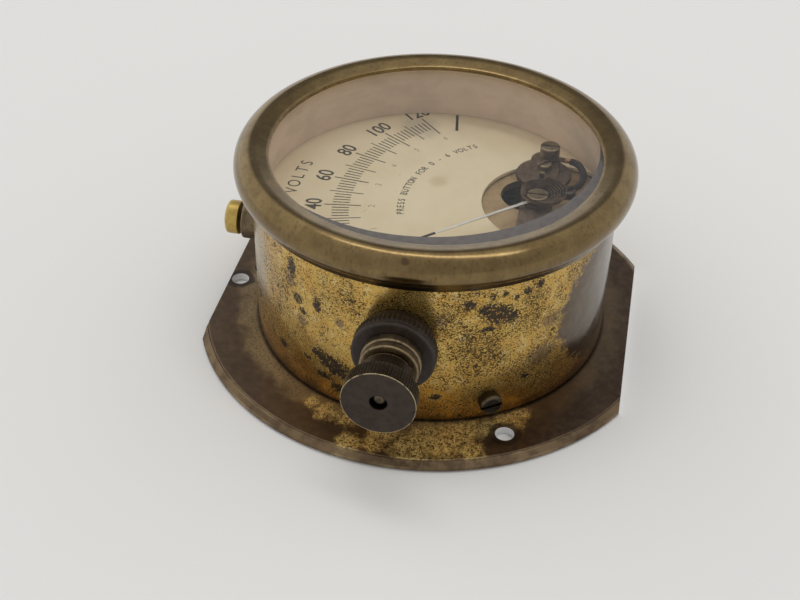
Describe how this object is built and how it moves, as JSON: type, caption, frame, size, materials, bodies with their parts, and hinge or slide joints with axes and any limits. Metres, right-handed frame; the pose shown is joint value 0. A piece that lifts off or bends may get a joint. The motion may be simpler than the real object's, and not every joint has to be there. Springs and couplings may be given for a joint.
{
  "type": "galvanometer",
  "caption": "Round brass-cased panel galvanometer read as a voltmeter, with pivoted coil and pointer, printed dial under glass, side terminals and a push-button.",
  "frame": {"origin": "centre of the back of the base plate, on the panel it is fixed to", "axes": "+Z out of the dial, +Y to the top of the dial (the push-button), +X to the dial's right"},
  "size_m": [0.1228, 0.0976, 0.0473],
  "materials": {
    "aged_brass": "dull, browned lacquered brass",
    "movement_brass": "satin",
    "button_horn": "worn, half gloss",
    "dark_steel": "blackened",
    "case_brass": "lacquered, speckled with dark spots",
    "alloy": "satin",
    "coil_wire": "enamelled copper",
    "ebonite": "dull black",
    "dial_paper": "aged cream paper on metal",
    "glass": "clear",
    "packing": "matte card",
    "soft_iron": "satin",
    "wire_sleeve": "dull black",
    "spring_bronze": "bronze",
    "silk_wire": "silk-covered wire",
    "sleeve_lining": "matte card"
  },
  "bodies": {
    "case": {"base_plate": "aged_brass", "bezel": "aged_brass", "bridge_pillar_left": "movement_brass", "bridge_pillar_right": "movement_brass", "bridge_screw_left": "movement_brass", "bridge_screw_right": "movement_brass", "button_guide": "aged_brass", "button_spring": "dark_steel", "case_drum": "case_brass", "case_screw_1": "dark_steel", "case_screw_2": "dark_steel", "case_screw_3": "dark_steel", "chassis_pillar_1": "movement_brass", "chassis_pillar_2": "movement_brass", "chassis_pillar_3": "movement_brass", "chassis_plate": "movement_brass", "contact_blade": "movement_brass", "contact_block": "ebonite", "core_bracket": "movement_brass", "dial_plate": "dial_paper", "glass": "glass", "glass_packing": "packing", "iron_core": "soft_iron", "lead_screw": "movement_brass", "lead_wire": "wire_sleeve", "lower_bridge": "movement_brass", "lower_hairspring": "spring_bronze", "lower_jewel_screw": "movement_brass", "magnet": "dark_steel", "pole_piece_left": "soft_iron", "pole_piece_right": "soft_iron", "resistor_bobbin": "ebonite", "resistor_winding": "silk_wire", "spacer_sleeve": "sleeve_lining", "stop_pin_full": "dark_steel", "stop_pin_zero": "dark_steel", "terminal_clamp_nut_left": "case_brass", "terminal_clamp_nut_right": "case_brass", "terminal_inner_nut_left": "case_brass", "terminal_inner_nut_right": "case_brass", "terminal_insulator_left": "ebonite", "terminal_insulator_right": "ebonite", "terminal_stud_left": "case_brass", "terminal_stud_right": "case_brass", "upper_bridge": "movement_brass", "upper_hairspring": "spring_bronze"},
    "coil_assembly": {"coil_former": "alloy", "coil_winding": "coil_wire", "upper_arbor": "dark_steel", "lower_arbor": "dark_steel", "pointer": "alloy", "collet": "case_brass", "counterweight": "ebonite"},
    "zero_lever": {"zero_lever": "movement_brass"},
    "push_button": {"button_cap": "button_horn", "button_plunger": "movement_brass"},
    "washer_left": {"loose_washer_left": "case_brass"},
    "nut_left": {"thumb_nut_left": "aged_brass"},
    "washer_right": {"loose_washer_right": "case_brass"},
    "nut_right": {"thumb_nut_right": "aged_brass"}
  },
  "joints": [
    {"name": "pointer_swing", "type": "hinge", "parent": "case", "child": "coil_assembly", "pos_m": [0.0006, -0.0233, 0.0342], "axis": [0, 0, -1], "range_deg": [0, 93.5], "stiffness_Nm_per_rad": 0.00002},
    {"name": "zero_adjust", "type": "hinge", "parent": "case", "child": "zero_lever", "pos_m": [0.0006, -0.0233, 0.03375], "axis": [0, 0, 1], "range_deg": [-12, 12]},
    {"name": "button_press", "type": "slide", "parent": "case", "child": "push_button", "axis": [0, -1, 0], "range_m": [0, 0.002], "stiffness_N_per_m": 150, "deforming": ["button_spring"]},
    {"name": "washer_left_slide", "type": "slide", "parent": "case", "child": "washer_left", "axis": [-1, 0, 0], "range_m": [0, 0.002]},
    {"name": "nut_left_turn", "type": "hinge", "parent": "washer_left", "child": "nut_left", "pos_m": [-0.057, 0, 0.024], "axis": [-1, 0, 0], "range_deg": [0, 1450]},
    {"name": "washer_right_slide", "type": "slide", "parent": "case", "child": "washer_right", "axis": [1, 0, 0], "range_m": [0, 0.002]},
    {"name": "nut_right_turn", "type": "hinge", "parent": "washer_right", "child": "nut_right", "pos_m": [0.057, 0, 0.024], "axis": [1, 0, 0], "range_deg": [0, 1450]}
  ],
  "couplings": [
    {"joint": "nut_left_turn", "follows": "washer_left_slide", "rad_per_m": 12566},
    {"joint": "nut_right_turn", "follows": "washer_right_slide", "rad_per_m": 12566}
  ]
}
